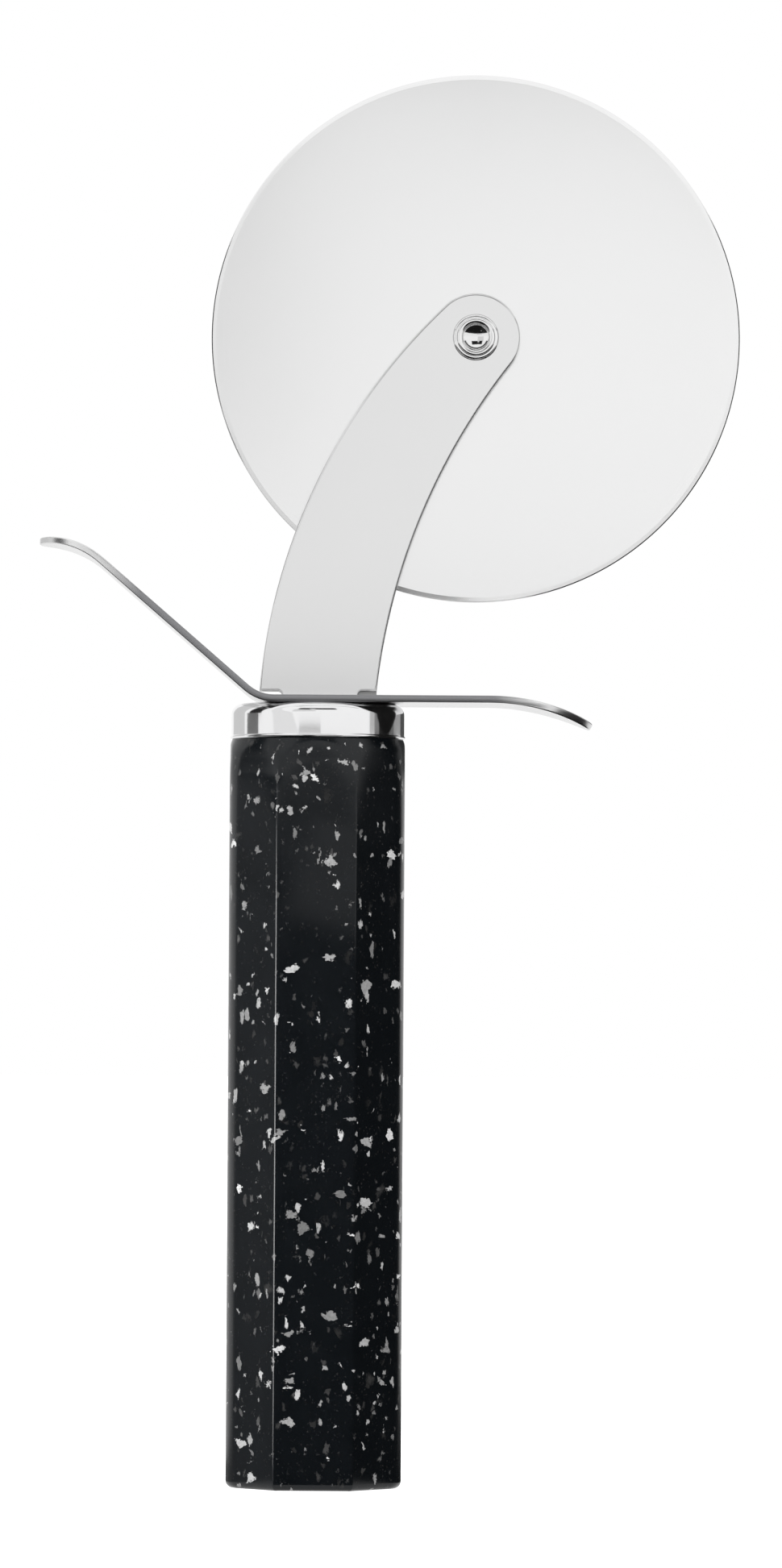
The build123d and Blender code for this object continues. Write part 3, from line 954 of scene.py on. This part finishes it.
# bright plated steel, with the faint rings that the setting tool leaves
bright_steel = satin_steel("rivet_steel", 0.80, 0.88, 0.05, 0.16, 0.12 * mm, round_axle, 0.006 * mm)
washer_radius = washer_high.x - axle.x
washer_outline = [(axle_hole, arm_face), (washer_radius, arm_face)]
washer_outline += arc((washer_radius - washer_round, washer_face + washer_round), washer_round, 0, -90, 8)
washer_outline += [(axle_hole, washer_face), (axle_hole, arm_face)]
washer = turned_piece("bright_washer", washer_outline, axle_point, to_back, 96, bright_steel)
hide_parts("clinch_washer")
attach(washer, "handle")

head_base = arm_near + arm_thickness
dome_rise = head_top - head_base - head_rim
dome = (head_radius**2 + dome_rise**2) / (2 * dome_rise)
dome_edge = math.degrees(math.acos(head_radius / dome))
flare = crest_radius - hollow_radius
roll = lip_radius - crest_radius
hollow_end = crest + hollow_depth
rivet_outline = [(0.0, hollow_end + hollow_radius / math.tan(hollow_half_angle))]
rivet_outline += [(hollow_radius, hollow_end)]
rivet_outline += arc((crest_radius, crest + flare), flare, 180, 270, 12)
rivet_outline += arc((crest_radius, crest + roll), roll, 270, 360, 8)[1:]
rivet_outline += [(lip_radius, washer_face), (axle_radius, washer_face)]
rivet_outline += [(axle_radius, head_base), (head_radius, head_base)]
rivet_outline += arc((0.0, head_top - dome), dome, dome_edge, 90, 12)
rivet = turned_piece("rolled_rivet", rivet_outline, axle_point, to_back, 96, bright_steel)
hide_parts("axle_rivet")
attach(rivet, "handle")


# The stage: a plain white floor and background, a soft key light from the left front, fill, and cards
# that only reflections see, so that the bright steel has a studio's white, grey and black to show.
# None of it is part of the object.

white = (1, 1, 1, 1)
sky_light = 0.55
sky_seen = 1.0
floor_half = 6.0
floor_lift = 0.30
floor_camera_lift = 0.62
floor_reflected = 0.95
world = bpy.data.worlds.new("studio")
bpy.context.scene.world = world
world.use_nodes = True
tree = world.node_tree
sky = tree.nodes["Background"]
sky.inputs["Color"].default_value = white
sky.inputs["Strength"].default_value = sky_light
seen = add_node(tree, "ShaderNodeBackground", {"Color": white, "Strength": sky_seen})
rays = tree.nodes.new("ShaderNodeLightPath").outputs


def shown(tree, rays):
    """Whether a ray comes from the camera, a reflection or glass."""
    seen = sum_of(tree, "MAXIMUM", rays["Is Camera Ray"], rays["Is Glossy Ray"])
    return sum_of(tree, "MAXIMUM", seen, rays["Is Transmission Ray"])


inputs = {0: shown(tree, rays), 1: sky.outputs["Background"], 2: seen.outputs["Background"]}
both = add_node(tree, "ShaderNodeMixShader", inputs)
tree.links.new(both.outputs["Shader"], tree.nodes["World Output"].inputs["Surface"])


def bare_material(name):
    """A material without a shader, with its tree and the socket that a shader goes to."""
    made = bpy.data.materials.new(name)
    made.use_nodes = True
    tree = made.node_tree
    tree.nodes.remove(tree.nodes["Principled BSDF"])
    return made, tree, tree.nodes["Material Output"].inputs["Surface"]


def glow(tree, level):
    """A plain white shader that shows the same from every side."""
    return add_node(tree, "ShaderNodeEmission", {"Color": white, "Strength": level}).outputs["Emission"]


floor_paint, tree, end = bare_material("floor_paint")
matt = add_node(tree, "ShaderNodeBsdfDiffuse", {"Color": (0.8, 0.8, 0.8, 1)}).outputs["BSDF"]
rays = tree.nodes.new("ShaderNodeLightPath").outputs
to_camera = sum_of(tree, "MULTIPLY", rays["Is Camera Ray"], floor_camera_lift)
lift = glow(tree, sum_of(tree, "MULTIPLY_ADD", shown(tree, rays), floor_lift, to_camera))
lit = add_node(tree, "ShaderNodeAddShader", {0: matt, 1: lift}).outputs["Shader"]
inputs = {0: rays["Is Glossy Ray"], 1: lit, 2: glow(tree, floor_reflected)}
tree.links.new(add_node(tree, "ShaderNodeMixShader", inputs).outputs["Shader"], end)
floor_corners = [(x * floor_half, y * floor_half, 0) for x, y in square]
floor = new_object("floor", floor_corners, [(0, 1, 2, 3)], floor_paint)

middle = Vector((12 * mm, 0.0, 118 * mm))


def soft_lamp(name, azimuth, height, distance, width, tall, watts):
    """A rectangular lamp that faces the middle of the object and isn't seen in reflections."""
    light = bpy.data.lights.new(name, "AREA")
    light.shape = "RECTANGLE"
    light.size, light.size_y, light.energy = width, tall, watts
    lamp = in_scene(name, light)
    turn, rise = math.radians(azimuth), math.radians(height)
    ray = Vector((math.sin(turn) * math.cos(rise), -math.cos(turn) * math.cos(rise), math.sin(rise)))
    lamp.location = middle + ray * distance
    lamp.rotation_euler = ray.to_track_quat("Z", "Y").to_euler()
    lamp.visible_glossy = False


# azimuth (0 is the front and 90 the right) and height in degrees; distance and size in metres; watts
soft_lamp("key", -45, 25, 1.3, 0.40, 0.72, 9.0)
soft_lamp("fill", 55, 25, 1.5, 0.8, 0.8, 4.0)
soft_lamp("back", 170, 50, 1.6, 0.9, 0.6, 6.0)


def flat_card(name, corners, level):
    """A flat card of one brightness, with corners in millimetres, that only reflections see."""
    paint, tree, end = bare_material(name)
    tree.links.new(glow(tree, level), end)
    if level > 1:
        # a bright card is no lamp: only rays find it, so that the visor can screen the steel from it
        paint.cycles.emission_sampling = "NONE"
    points = [tuple(c * mm for c in corner) for corner in corners]
    card = new_object(name, points, [tuple(range(len(points)))], paint)
    card.visible_camera = False
    card.visible_diffuse = False
    card.visible_shadow = False
    card.visible_transmission = False


# upright cards in a ring round the handle's axis: first and last azimuth, low and high edge, level
card_distance = 260
for name, first, last, low, high, level in (
    ("left_card", -84, -106, 129, 150, 0.17),
    ("tip_card", -79, -102, 150, 330, 0.02),
    ("far_left_card", -112, -150, 129, 330, 0.65),
    ("left_low_card", -74, -104, 1, 120, 0.24),
    ("low_card", -22, 80, 1, 126, 0.01),
    ("first_shade_card", 72, 80, 134, 330, 0.50),
    ("second_shade_card", 80, 88, 134, 330, 0.22),
    ("right_low_card", 80, 127, 1, 134, 0.01),
    ("right_card", 88, 108, 134, 330, 0.02),
    ("third_shade_card", 108, 120, 134, 330, 0.16),
    ("fourth_shade_card", 120, 142, 134, 330, 0.33),
    ("edge_card", 142, 172, 129, 330, 0.08),
    ("high_card", -28, 28, 290, 400, 0.01),
    ("body_card", -24, 4, 135, 141, 0.35),
    ("ridge_card", -62, -30, 1, 119, 14.0),
):
    steps = max(1, round(abs(last - first) / 20))
    turns = [math.radians(first + (last - first) * step / steps) for step in range(steps + 1)]
    feet = [(math.sin(turn) * card_distance, -math.cos(turn) * card_distance) for turn in turns]
    for step, (start, end) in enumerate(zip(feet, feet[1:])):
        flat_card(f"{name}_{step}", [(*start, low), (*end, low), (*end, high), (*start, high)], level)

# cards on the floor: left and right edge, near and far edge, level
for name, left, right, near, far, level in (
    ("floor_card", -300, 350, -300, -17, 0.01),
    ("right_floor_card", 17, 350, -17, 300, 0.01),
    ("left_floor_card", -300, -17, -17, 60, 0.24),
):
    flat_card(name, [(left, near, 0.3), (right, near, 0.3), (right, far, 0.3), (left, far, 0.3)], level)


def ring_part(near, far, first, last):
    """The outline of a part of a flat ring, between two radii and two angles in degrees."""
    turns = [math.radians(turn) for turn in range(first, last + 1, 4)]
    edge = [(near, turn) for turn in turns] + [(far, turn) for turn in turns[::-1]]
    return [(radius * math.sin(turn), radius * math.cos(turn)) for radius, turn in edge]


visor_height = 121
visor = [(x, -y, visor_height) for x, y in ring_part(22, 264, -82, -18)]
flat_card("visor_card", visor, 0.02)

# cards in front of the wheel, parts of a ring round the axle: radii, first and last angle, level
wheel_card_front = -42
for name, near, far, first, last, level in (
    ("bevel_card", 79, 104, -2, 74, 1.0),
    ("dim_bevel_card", 86, 103, -18, -2, 0.55),
    ("left_bevel_card", 79, 108, -140, -28, 0.84),
    ("brow_card", 56, 76, 112, 248, 0.02),
):
    part = ring_part(near, far, first, last)
    flat_card(name, [(axle.x / mm + x, wheel_card_front, axle.y / mm - y) for x, y in part], level)
flat_card("face_card", [(-170, -255, 190), (-12, -255, 190), (-12, -255, 330), (-170, -255, 330)], 0.74)


# The camera: far off, low and tilted up a little, as the photograph was taken, a little right of the
# handle, and turned by a third of a degree as the photograph is.

camera_side = 12.5 * mm
camera_distance = 1350 * mm
camera_height = 85 * mm
camera_aim = 119.3 * mm
camera_roll = math.radians(0.337)
camera = in_scene("camera", bpy.data.cameras.new("camera"))
camera.location = (camera_side, -camera_distance, camera_height)
pitch = math.atan((camera_aim - camera_height) / camera_distance)
tilted = Matrix.Rotation(math.pi / 2 + pitch, 4, "X") @ Matrix.Rotation(camera_roll, 4, "Z")
camera.rotation_euler = tilted.to_euler()
camera.data.sensor_fit = "VERTICAL"
camera.data.sensor_height = 36.0
camera.data.lens = 182.2
camera.data.clip_end = 50.0
bpy.context.scene.camera = camera
bpy.context.scene.view_settings.view_transform = "Standard"
